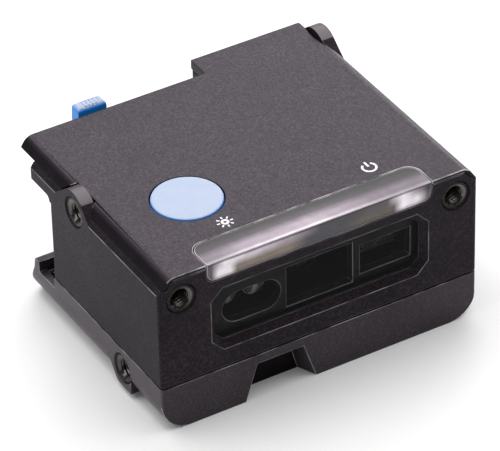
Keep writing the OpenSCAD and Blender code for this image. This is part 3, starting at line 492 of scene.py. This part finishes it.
WINDOW_SMOKE = (0.006, 0.006, 0.007)
WINDOW_SMEAR = 1.2
WINDOW_MARKS = 260
WINDOW_ROUGHNESS = (0.03, 0.08)
WINDOW_ALPHA = 0.08
WINDOW_LEVEL = 0.02
# Painted glow in the scan window, standing in for stray light, though the window is no lamp
WINDOW_PAINTED_GLOW = 0.05
WINDOW_PAINTED_GLOW_COLOUR = (0.95, 0.95, 1, 1)


def scan_window(name):
    """Thin smoked plate: mostly see-through, with a polished face and a faint painted glow."""
    material, tree, shader = new_material(name)
    smear = noise(tree, WINDOW_MARKS, detail=3.0)
    dress(tree, shader, mottle(tree, smear, WINDOW_SMOKE, times(WINDOW_SMOKE, WINDOW_SMEAR)),
          spread(tree, smear, *WINDOW_ROUGHNESS))
    set_inputs(shader, {"Alpha": WINDOW_ALPHA, "Specular IOR Level": WINDOW_LEVEL,
                        "Emission Color": WINDOW_PAINTED_GLOW_COLOUR, "Emission Strength": WINDOW_PAINTED_GLOW})
    return material


# Metal, circuit board and print

METAL_MARKS = 1500
PLATING_MARKS = 2600
METAL_DARK = 0.55
METAL_SHARPER, METAL_DULLER = 0.08, 0.12
METAL_DEPTH = 0.01 * MM


def metal(name, colour, roughness, marks=METAL_MARKS):
    """Metal with fine machining marks and a dull, uneven plating."""
    material, tree, shader = new_material(name)
    grain = noise(tree, marks, detail=4.0, roughness=0.6)
    dress(tree, shader, mottle(tree, grain, times(colour, METAL_DARK), colour),
          spread(tree, grain, roughness - METAL_SHARPER, roughness + METAL_DULLER))
    set_inputs(shader, {"Metallic": 1.0})
    bump(tree, shader, grain, METAL_DEPTH)
    return material


BOARD_TRACKS = 520.0
BOARD_GREENS = {"Color1": (0.012, 0.075, 0.03, 1), "Color2": (0.016, 0.1, 0.04, 1),
                "Mortar": (0.03, 0.16, 0.06, 1)}
BOARD_ROUGHNESS = 0.35
BOARD_DEPTH = 0.02 * MM


def solder_mask(name):
    """Green circuit board with its tracks as a slight relief and change of tone."""
    material, tree, shader = new_material(name)
    tracks = add(tree, "ShaderNodeTexBrick", Scale=BOARD_TRACKS)
    set_inputs(tracks, BOARD_GREENS)
    tree.links.new(own_place(tree), tracks.inputs["Vector"])
    tree.links.new(tracks.outputs["Color"], shader.inputs["Base Color"])
    set_inputs(shader, {"Roughness": BOARD_ROUGHNESS})
    bump(tree, shader, tracks.outputs["Fac"], BOARD_DEPTH)
    return material


INK_WHITE = (0.9, 0.9, 0.9)
INK_THIN = (0.78, 0.78, 0.78)
INK_MARKS = 3000
INK_REACH = (0.25, 0.6)
INK_ROUGHNESS = (0.45, 0.6)


def ink(name):
    """White screen print with a slightly broken cover."""
    material, tree, shader = new_material(name)
    cover = noise(tree, INK_MARKS)
    dress(tree, shader, mottle(tree, cover, INK_THIN, INK_WHITE, INK_REACH),
          spread(tree, cover, *INK_ROUGHNESS))
    return material


# Looks of the slots

HOUSING_BLACK = (0.0200, 0.0163, 0.0202)
COVER_BLACK = (0.0125, 0.0102, 0.0129)
BASE_BLACK = (0.023, 0.0195, 0.0228)
NOTCH_PAINTED_SHADE = (0.008, 0.0072, 0.0078)
SEAL_BLACK = (0.006, 0.006, 0.006)
BEZEL_BLACK = (0.0105, 0.0103, 0.0106)
CHAMBER_BLACK = (0.006, 0.006, 0.0062)
CHIP_BLACK = (0.012, 0.012, 0.012)
LED_CREAM = (0.72, 0.68, 0.5)
CONNECTOR_CREAM = (0.62, 0.58, 0.48)
GOLD = (0.85, 0.63, 0.27)
ZINC = (0.56, 0.56, 0.57)
INSERT_DARK = (0.026, 0.0245, 0.0235)
THREAD_DARK = (0.125, 0.116, 0.107)
# Colours of the painted edge highlights
HOUSING_EDGE_HIGHLIGHT = (0.24, 0.22, 0.225)
COVER_EDGE_HIGHLIGHT = (0.55, 0.51, 0.54)
BASE_EDGE_HIGHLIGHT = (0.42, 0.39, 0.40)
BEZEL_EDGE_HIGHLIGHT = (0.22, 0.21, 0.20)
PIPE_RIM_HIGHLIGHT = (0.50, 0.46, 0.49)
LENS_RIM_HIGHLIGHT = (0.45, 0.435, 0.425)
HOUSING_ROUGHNESS = 0.44
COVER_ROUGHNESS = 0.30
HOUSING_INDEX = 2.0
# Tints of the gloss
CAST = (1.0, 0.81, 1.0)
BOSS_CAST = (1.0, 0.88, 0.95)

# Places of the looks in a piece's list of materials: the region looks follow the edge look
MAIN_LOOK, EDGE_LOOK = 0, 1

LOOK = {
    "housing_plastic": grained_plastic("housing_plastic", HOUSING_BLACK, HOUSING_ROUGHNESS, level=0.027,
                                       cast=CAST, index=HOUSING_INDEX, speckle=1.0),
    "cover_plastic": grained_plastic("cover_plastic", COVER_BLACK, COVER_ROUGHNESS, level=0.385, cast=CAST,
                                     speckle=1.0, sparkle=(0.6, 1.4)),
    "base_plastic": grained_plastic("base_plastic", BASE_BLACK, HOUSING_ROUGHNESS, level=0.36, cast=CAST,
                                    speckle=1.0),
    "seal_rubber": grained_plastic("seal_rubber", SEAL_BLACK, roughness=0.7, grain=SMALL_PART_GRAIN),
    "clear_plastic": painted_light_guide("clear_plastic"),
    "window_plastic": scan_window("window_plastic"),
    "bezel_plastic": grained_plastic("bezel_plastic", BEZEL_BLACK, roughness=0.5, grain=SMOOTH_GRAIN,
                                     depth=SMOOTH_DEPTH, level=0.12),
    "lens_glass": lens_plastic("lens_glass"),
    "board": solder_mask("board"),
    "chip": grained_plastic("chip", CHIP_BLACK, roughness=0.55, grain=CHIP_GRAIN),
    "led": grained_plastic("led", LED_CREAM, roughness=0.3, grain=SMALL_PART_GRAIN),
    "connector": grained_plastic("connector", CONNECTOR_CREAM, roughness=0.45, grain=SMALL_PART_GRAIN),
    "contact_metal": metal("contact_metal", GOLD, roughness=0.25),
    "blue_plastic": blue_plastic("blue_plastic"),
    "steel": metal("steel", ZINC, roughness=0.3),
    "insert_metal": metal("insert_metal", INSERT_DARK, roughness=0.36, marks=PLATING_MARKS),
}
# Looks of rounded edges, which carry painted highlights, and of the rims and threads of the inserts
EDGE = {
    "housing_plastic": painted_edge_highlight("housing_edge", HOUSING_EDGE_HIGHLIGHT, roughness=0.3),
    "cover_plastic": painted_edge_highlight("cover_edge", COVER_EDGE_HIGHLIGHT, roughness=0.3),
    "base_plastic": painted_edge_highlight("base_edge", BASE_EDGE_HIGHLIGHT, roughness=0.32),
    "bezel_plastic": painted_edge_highlight("bezel_edge", BEZEL_EDGE_HIGHLIGHT, roughness=0.3, faded=0.3),
    "clear_plastic": painted_edge_highlight("pipe_edge", PIPE_RIM_HIGHLIGHT, roughness=0.15, faded=0.75),
    "lens_glass": painted_edge_highlight("lens_edge", LENS_RIM_HIGHLIGHT, roughness=0.2, faded=0.5),
    "insert_metal": metal("thread_metal", THREAD_DARK, roughness=0.26, marks=PLATING_MARKS),
}
# More looks of a piece, on the faces that its region numbers from 1
REGION_LOOK = {
    # Painted sheen on the bosses' upper faces
    "housing_plastic": [grained_plastic("boss_painted_sheen", HOUSING_BLACK, HOUSING_ROUGHNESS, cast=BOSS_CAST,
                                        index=HOUSING_INDEX)],
    # Painted shade on the cover's rounded sides, band by band
    "cover_plastic": [grained_plastic(f"cover_shade_band_{k}", COVER_BLACK, COVER_ROUGHNESS, level=gloss,
                                      cast=CAST, speckle=0.5)
                      for k, (_, gloss) in enumerate(COVER_SHADE_BANDS)],
    # Painted shade on the notch's roof and rear wall, then a painted sheen on the base's outer sides
    "base_plastic": [grained_plastic("notch_painted_shade", NOTCH_PAINTED_SHADE, roughness=0.6, level=0.08, cast=CAST),
                     grained_plastic("base_side_painted_sheen", BASE_BLACK, HOUSING_ROUGHNESS, level=0.68, cast=CAST,
                                     speckle=0.6)],
    # Painted highlight rings on the small lenses
    "lens_glass": [EDGE["lens_glass"]],
}
# Dark chambers behind the scan window
CHAMBER_NODES = ("engine_chassis", "camera_barrel")
CHAMBER = grained_plastic("chamber_black", CHAMBER_BLACK, roughness=0.6, grain=SMOOTH_GRAIN,
                          depth=SMOOTH_DEPTH, level=0.05)
SIGN_INK = ink("sign_ink")


# Piece tools

def new_piece(name, bm, body, slot, material=None):
    """A mesh piece from a bmesh with the look of a material slot, riding on a body if one is named."""
    mesh = bpy.data.meshes.new(name)
    bm.normal_update()
    mesh.materials.append(material or LOOK[slot])
    mesh.materials.append(EDGE.get(slot, LOOK[slot]))
    for look in REGION_LOOK.get(slot, []):
        mesh.materials.append(look)
    bm.to_mesh(mesh)
    bm.free()
    piece = bpy.data.objects.new(name, mesh)
    SCENE.collection.objects.link(piece)
    if body:
        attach(piece, body)
    return piece


def stand_in(node, bm, body):
    """A new piece that stands for a CAD node."""
    piece = new_piece("dressed_" + node, bm, body, SLOT_OF[node])
    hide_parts(node)
    return piece


def cad_mesh(node):
    """A bmesh copy of a CAD node, with its double points made one."""
    bm = bmesh.new()
    bm.from_mesh(NODES[node].data)
    bmesh.ops.remove_doubles(bm, verts=bm.verts, dist=WELD)
    return bm


def middle_of(box):
    """The middle of a box that is given by its lowest and highest corners."""
    return (box[0] + box[1]) / 2


def parts_of(node):
    """The boxes of the separate solids of a CAD node, from left to right."""
    bm = cad_mesh(node)
    left = set(bm.verts)
    boxes = []
    while left:
        stack = [left.pop()]
        found = list(stack)
        while stack:
            for edge in stack.pop().link_edges:
                for v in edge.verts:
                    if v in left:
                        left.remove(v)
                        stack.append(v)
                        found.append(v)
        boxes.append((Vector([min(v.co[i] for v in found) for i in range(3)]),
                      Vector([max(v.co[i] for v in found) for i in range(3)])))
    bm.free()
    return sorted(boxes, key=lambda box: box[0].x)


def shade(bm, angle):
    """Smooth shading, with edges sharper than angle kept crisp."""
    for face in bm.faces:
        face.smooth = True
    for edge in bm.edges:
        edge.smooth = not edge.is_manifold or edge.calc_face_angle() < math.radians(angle)


# Moulded pieces with rounded edges

def rounded_copy(node, body, width, angle=SHARP_ANGLE, quiet=None, region=None):
    """A copy of a CAD node with its sharp edges rounded, which stands for the node.

    Edges are quiet where asked, without the painted edge highlight, and faces that the region numbers from
    1 have the slot's other looks.
    """
    low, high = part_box(node)
    bm = cad_mesh(node)
    bmesh.ops.dissolve_limit(bm, angle_limit=math.radians(FLAT_ANGLE), verts=bm.verts, edges=bm.edges)
    whole = BVHTree.FromBMesh(bm)
    sharp = [e for e in bm.edges if e.is_manifold and e.calc_face_angle() > math.radians(angle)]
    bmesh.ops.bevel(bm, geom=sharp, offset=width, offset_type="OFFSET", segments=EDGE_SEGMENTS, profile=0.5,
                    affect="EDGES", clamp_overlap=False, loop_slide=True, material=EDGE_LOOK)
    for v in bm.verts:
        nearest, _, _, away = whole.find_nearest(v.co)
        if away > STRAY_SHARE * width:
            v.co = nearest
        v.co = Vector([min(max(c, a), b) for c, a, b in zip(v.co, low, high)])
    bm.normal_update()
    for face in bm.faces:
        middle = face.calc_center_median()
        if quiet and face.material_index == EDGE_LOOK and quiet(middle):
            face.material_index = MAIN_LOOK
        if region and face.material_index == MAIN_LOOK:
            number = region(middle, face.normal)
            face.material_index = EDGE_LOOK + number if number else MAIN_LOOK
    shade(bm, CRISP_ANGLE)
    piece = stand_in(node, bm, body)
    piece.modifiers.new("normals", "WEIGHTED_NORMAL").keep_sharp = True


LENS_BOXES = parts_of("illumination_lenses")
INSERT_MIDDLES = [middle_of(box) for node in ("front_inserts", "side_inserts", "base_inserts")
                  for box in parts_of(node)]


def quiet_by_inserts(place):
    """True round the mouths of the threaded inserts."""
    return any((place - middle).length < INSERT_REACH for middle in INSERT_MIDDLES)


def quiet_on_housing(place):
    """True round the inserts, along the seam under the cover's sides and at the upper front corners."""
    by_seam = place.z > TOP_Z - SEAM_DROP and place.y > FRONT_Y + SEAM_START
    in_corner = (abs(place.x) > CORNER_X and place.y < FRONT_Y + CORNER_DEPTH
                 and place.z > TOP_Z - CORNER_DROP)
    return by_seam or in_corner or quiet_by_inserts(place)


def quiet_on_cover(place):
    """True on the cover below its top face, round the button and round the rear step."""
    below = place.z < TOP_Z - COVER_TOP_DEPTH
    behind = place.y > BUTTON_HIGH.y + REAR_STEP
    beside = (place - middle_of((BUTTON_LOW, BUTTON_HIGH))).to_2d().length
    return below or behind or beside < BUTTON_RING * (BUTTON_HIGH.x - BUTTON_LOW.x)


def boss_top(place, normal):
    """1 on the upper faces of the side bosses, which carry the painted sheen, else 0."""
    return int(abs(place.x) > BOSS_X and place.z > TOP_Z - BOSS_DROP and normal.z > BOSS_TILT)


def cover_shade_band(_place, normal):
    """Number of the painted shade band on the cover's rounded sides, 0 on its top."""
    return sum(normal.z < height for height, _ in COVER_SHADE_BANDS)


def base_region(place, normal):
    """1 on the roof and the rear wall of the notch in the base's front, which carry painted shade, 2 on the
    outer sides, which carry a painted sheen, else 0.
    """
    in_notch = abs(place.x) < NOTCH_HALF and FRONT_Y + NOTCH_START < place.y < FRONT_Y + NOTCH_DEPTH
    if in_notch and (normal.z < -NOTCH_TILT or normal.y < -NOTCH_TILT):
        return 1
    return 2 if abs(normal.x) > BASE_SIDE_TILT and abs(place.x) > BASE_SIDE_X else 0


def lens_highlight_ring(place, normal):
    """1 on two rings of each small lens, which carry a painted highlight, else 0."""
    for low, high in LENS_BOXES:
        middle = middle_of((low, high))
        away = math.hypot(place.x - middle.x, place.z - middle.z) / ((high.x - low.x) / 2)
        if away < LENS_REACH and normal.y < 0:
            return int(any(a < away < b for a, b in LENS_HIGHLIGHT_RINGS))
    return 0


# Spring of the lever

def twisting_spring(node):
    """The lever's spring, smooth along its wire."""
    bm = cad_mesh(node)
    shade(bm, SPRING_CRISP_ANGLE)
    piece = stand_in(node, bm, None)
    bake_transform(piece)


# Threaded inserts

def bridge(bm, a, b):
    """Faces between two rings of the same count."""
    return [bm.faces.new((a[k], a[k - 1], b[k - 1], b[k])) for k in range(len(a))]


def threaded_insert(bm, mouth, axis, length):
    """A knurled insert with a cut thread. Its mouth faces along axis, and its bore runs the other way."""
    count = KNURL_COUNT * KNURL_STEPS
    across = axis.orthogonal().normalized()
    turn = Matrix((across, axis.cross(across), axis)).transposed()

    def ring(radius_at, depth):
        """A closed ring of points at a depth below the mouth, its radius a function of the angle."""
        points = []
        for k in range(count):
            a = 2 * math.pi * k / count
            radius = radius_at(a)
            points.append(mouth + turn @ Vector((radius * math.cos(a), radius * math.sin(a), -depth)))
        return [bm.verts.new(point) for point in points]

    def knurl(a):
        """Outer radius: a tooth, or the gap beside it."""
        tooth = (a * KNURL_COUNT / (2 * math.pi)) % 1.0
        return INSERT_RADIUS - (KNURL_DEPTH if tooth > TOOTH_SHARE else 0)

    def thread(depth):
        """Radius of the thread at a depth, as a function of the angle."""
        def radius(a):
            phase = (depth / THREAD_PITCH + a / (2 * math.pi)) % 1.0
            return BORE_RADIUS + THREAD_DEPTH * (1.0 - abs(2.0 * phase - 1.0))
        return radius

    root = BORE_RADIUS + THREAD_DEPTH
    loops = [ring(knurl, length), ring(knurl, RIM_CHAMFER), ring(lambda a: knurl(a) - RIM_CHAMFER, 0),
             ring(lambda a: root + MOUTH_CHAMFER, 0)]
    rim_strip, mouth_strip = 1, len(loops) - 1
    step = THREAD_PITCH / THREAD_STEPS
    for i in range(int((length - MOUTH_CHAMFER) / step) + 1):
        depth = MOUTH_CHAMFER + i * step
        loops.append(ring(thread(depth), depth))
    loops.append(ring(lambda a: root, length))
    end_strip = len(loops) - 1
    for i, (a, b) in enumerate(zip(loops, loops[1:] + loops[:1])):
        for face in bridge(bm, a, b):
            bright = i == rim_strip or mouth_strip <= i < end_strip
            face.material_index = EDGE_LOOK if bright else MAIN_LOOK


def front_places(node):
    """Mouth, axis and length of a left and a right insert that open to the front."""
    low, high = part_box(node)
    z = (low.z + high.z) / 2
    r = (high.z - low.z) / 2
    return [(Vector((x, low.y, z)), Vector((0, -1, 0)), high.y - low.y) for x in (low.x + r, high.x - r)]


def side_places(node):
    """Mouth, axis and length of a left and a right insert that open sideways."""
    places = []
    for side, (low, high) in zip((-1, 1), parts_of(node)):
        middle = middle_of((low, high))
        x = low.x if side < 0 else high.x
        places.append((Vector((x, middle.y, middle.z)), Vector((side, 0, 0)), high.x - low.x))
    return places


def insert_group(node, places):
    """The inserts of a CAD node, cut with knurl and thread, which stand for it."""
    bm = bmesh.new()
    for mouth, axis, length in places:
        threaded_insert(bm, mouth, axis, length)
    bmesh.ops.recalc_face_normals(bm, faces=bm.faces)
    shade(bm, INSERT_CRISP_ANGLE)
    stand_in(node, bm, READER)


# Printed signs

def around(angle):
    """A level direction at an angle."""
    return Vector((math.cos(angle), math.sin(angle), 0))


def flat_ring(bm, centre, outer, inner, start=0.0, stop=2 * math.pi):
    """A thin flat ring, or an arc of one, with a little height."""
    full = math.isclose(stop - start, 2 * math.pi)
    section = ((outer, 0), (outer, INK_RISE), (inner, INK_RISE), (inner, 0))
    rows = []
    for k in range(RING_STEPS if full else RING_STEPS + 1):
        out = around(start + (stop - start) * k / RING_STEPS)
        rows.append([bm.verts.new(centre + out * r + Vector((0, 0, h))) for r, h in section])
    for a, b in zip(rows, rows[1:] + rows[:1] if full else rows[1:]):
        for k in range(len(section)):
            bm.faces.new((a[k - 1], a[k], b[k], b[k - 1]))
    if not full:
        bm.faces.new(rows[0])
        bm.faces.new(rows[-1])


def flat_bar(bm, centre, length, width, angle):
    """A thin flat bar with square ends, turned by angle."""
    along = around(angle) * length / 2
    across = around(angle + math.pi / 2) * width / 2
    corners = (-along - across, along - across, along + across, -along + across)
    foot = [bm.verts.new(centre + corner) for corner in corners]
    top = [bm.verts.new(v.co + Vector((0, 0, INK_RISE))) for v in foot]
    bm.faces.new(foot)
    bm.faces.new(top)
    bridge(bm, foot, top)


def draw_status(bm, centre):
    """A lamp with rays."""
    flat_ring(bm, centre, LAMP_RADIUS, LAMP_HOLE)
    for k in range(RAY_COUNT):
        angle = 2 * math.pi * k / RAY_COUNT
        flat_bar(bm, centre + around(angle) * RAY_PLACE, RAY_LENGTH, RAY_WIDTH, angle)


def draw_power(bm, centre):
    """The common power sign: a ring broken at its rear, with a stroke there."""
    rear = math.pi / 2
    flat_ring(bm, centre, POWER_RADIUS, POWER_HOLE, rear + POWER_GAP, rear + 2 * math.pi - POWER_GAP)
    flat_bar(bm, centre + around(rear) * STROKE_PLACE, STROKE_LENGTH, STROKE_WIDTH, rear)


def sign(name, draw, place):
    """A printed sign on the cover's flat top."""
    bm = bmesh.new()
    draw(bm, Vector((place.x, place.y, TOP_Z)))
    bmesh.ops.recalc_face_normals(bm, faces=bm.faces)
    new_piece(name, bm, READER, SLOT_OF["top_cover"], SIGN_INK)


# Pieces

rounded_copy("main_housing", READER, MOULD_EDGE, HOUSING_SHARP_ANGLE, quiet_on_housing, boss_top)
rounded_copy("top_cover", READER, COVER_EDGE, quiet=quiet_on_cover, region=cover_shade_band)
rounded_copy("base", READER, MOULD_EDGE, quiet=quiet_by_inserts, region=base_region)
rounded_copy("light_pipe", READER, COVER_EDGE)
rounded_copy("front_window", READER, FINE_EDGE, WINDOW_SHARP_ANGLE)
rounded_copy("optic_bezel", READER, BEZEL_EDGE)
rounded_copy("cable_socket", READER, MOULD_EDGE)
rounded_copy("illumination_lenses", READER, FINE_EDGE, region=lens_highlight_ring)
rounded_copy("trigger_button", BUTTON, BLUE_EDGE)
rounded_copy("release_lever", LEVER, BLUE_EDGE)
twisting_spring("lever_spring")

insert_group("front_inserts", front_places("front_inserts"))
insert_group("side_inserts", side_places("side_inserts"))
insert_group("base_inserts", side_places("base_inserts"))

sign("status_sign", draw_status, STATUS_SIGN)
sign("power_sign", draw_power, POWER_SIGN)

for node, obj in NODES.items():
    obj.data.materials.clear()
    obj.data.materials.append(CHAMBER if node in CHAMBER_NODES else LOOK[SLOT_OF[node]])


# Stage, light and camera

def white_floor():
    """Pale floor with a soft polish, and a little white of its own to the eye and in reflections."""
    material, tree, shader = new_material("white_floor")
    set_inputs(shader, {"Base Color": FLOOR_PALE, "Specular IOR Level": FLOOR_LEVEL,
                        "Emission Color": (*WHITE, 1)})
    tree.links.new(spread(tree, noise(tree, FLOOR_MARKS), *FLOOR_ROUGHNESS), shader.inputs["Roughness"])
    path = add(tree, "ShaderNodeLightPath")
    seen = path.outputs["Is Camera Ray"]
    for ray in ("Is Glossy Ray", "Is Transmission Ray"):
        either = add(tree, "ShaderNodeMath", operation="MAXIMUM")
        tree.links.new(seen, either.inputs[0])
        tree.links.new(path.outputs[ray], either.inputs[1])
        seen = either.outputs["Value"]
    white = add(tree, "ShaderNodeMath", operation="MULTIPLY")
    tree.links.new(seen, white.inputs[0])
    white.inputs[1].default_value = FLOOR_WHITE
    tree.links.new(white.outputs["Value"], shader.inputs["Emission Strength"])
    bm = bmesh.new()
    bmesh.ops.create_grid(bm, x_segments=1, y_segments=1, size=FLOOR_HALF)
    mesh = bpy.data.meshes.new("floor")
    mesh.materials.append(material)
    bm.to_mesh(mesh)
    bm.free()
    floor = bpy.data.objects.new("floor", mesh)
    floor.location.z = cad_low.z - FLOOR_GAP
    SCENE.collection.objects.link(floor)


def softbox(name, place, target, width, length, radiance):
    """A rectangular lamp of even radiance, turned to its target."""
    light = bpy.data.lights.new(name, "AREA")
    light.shape = "RECTANGLE"
    light.size = width
    light.size_y = length
    light.energy = radiance * math.pi * width * length
    lamp = bpy.data.objects.new(name, light)
    lamp.location = place
    lamp.rotation_mode = "QUATERNION"
    lamp.rotation_quaternion = (Vector(target) - Vector(place)).to_track_quat("-Z", "Y")
    SCENE.collection.objects.link(lamp)


def world_light():
    """Even dim light from all round."""
    world = bpy.data.worlds.new("studio")
    world.use_nodes = True
    set_inputs(world.node_tree.nodes["Background"], {"Color": (*WHITE, 1), "Strength": WORLD_LIGHT})
    SCENE.world = world


def photo_camera():
    """The photograph's camera."""
    data = bpy.data.cameras.new("camera")
    data.lens = CAMERA_LENS
    data.sensor_width = SENSOR_WIDTH
    data.clip_start = CLIP_START
    data.clip_end = CLIP_END
    camera = bpy.data.objects.new("camera", data)
    turn = Matrix((CAMERA_RIGHT, CAMERA_UP, CAMERA_RIGHT.cross(CAMERA_UP))).transposed()
    camera.matrix_world = Matrix.Translation(CAMERA_PLACE) @ turn.to_4x4()
    SCENE.collection.objects.link(camera)
    SCENE.camera = camera


white_floor()
softbox("overhead", place=(0.2, 0.32, 0.45), target=(0.2, 0.32, 0), width=0.7, length=1.3, radiance=1.9)
softbox("left_fill", place=(-0.38, 0.18, 0.62), target=(0, 0, 0), width=0.6, length=0.6, radiance=2.6)
softbox("right_rim", place=(0.72, 0.75, 0.28), target=(0, 0, 0.02), width=0.5, length=0.3, radiance=3.6)
world_light()
photo_camera()
SCENE.view_settings.view_transform = "Standard"
